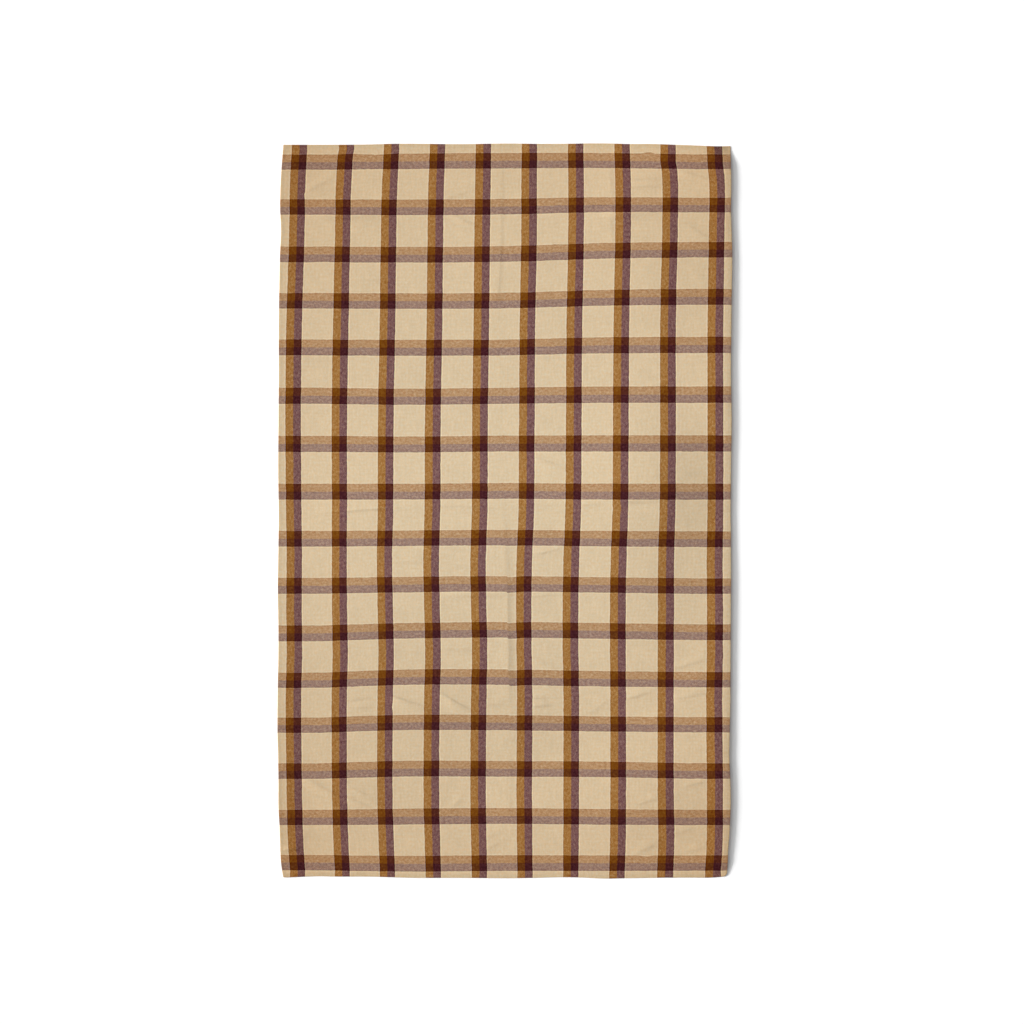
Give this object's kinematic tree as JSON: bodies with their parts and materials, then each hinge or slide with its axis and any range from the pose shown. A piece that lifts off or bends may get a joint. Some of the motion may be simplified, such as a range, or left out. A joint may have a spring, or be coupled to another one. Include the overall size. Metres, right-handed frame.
{
  "type": "tablecloth",
  "caption": "Rectangular woven cotton tablecloth with a two-colour windowpane check and a narrow hem, spread out face up.",
  "frame": {"origin": "under the middle of the cloth, on the surface that it rests on", "axes": "+X across the cloth, +Y up its length, +Z out of its face"},
  "size_m": [1.4081, 2.276, 0.013],
  "materials": {
    "woven_check": "matt woven cotton in cream, mustard and plum yarn"
  },
  "bodies": {
    "root": {"cloth": "woven_check"}
  },
  "joints": []
}
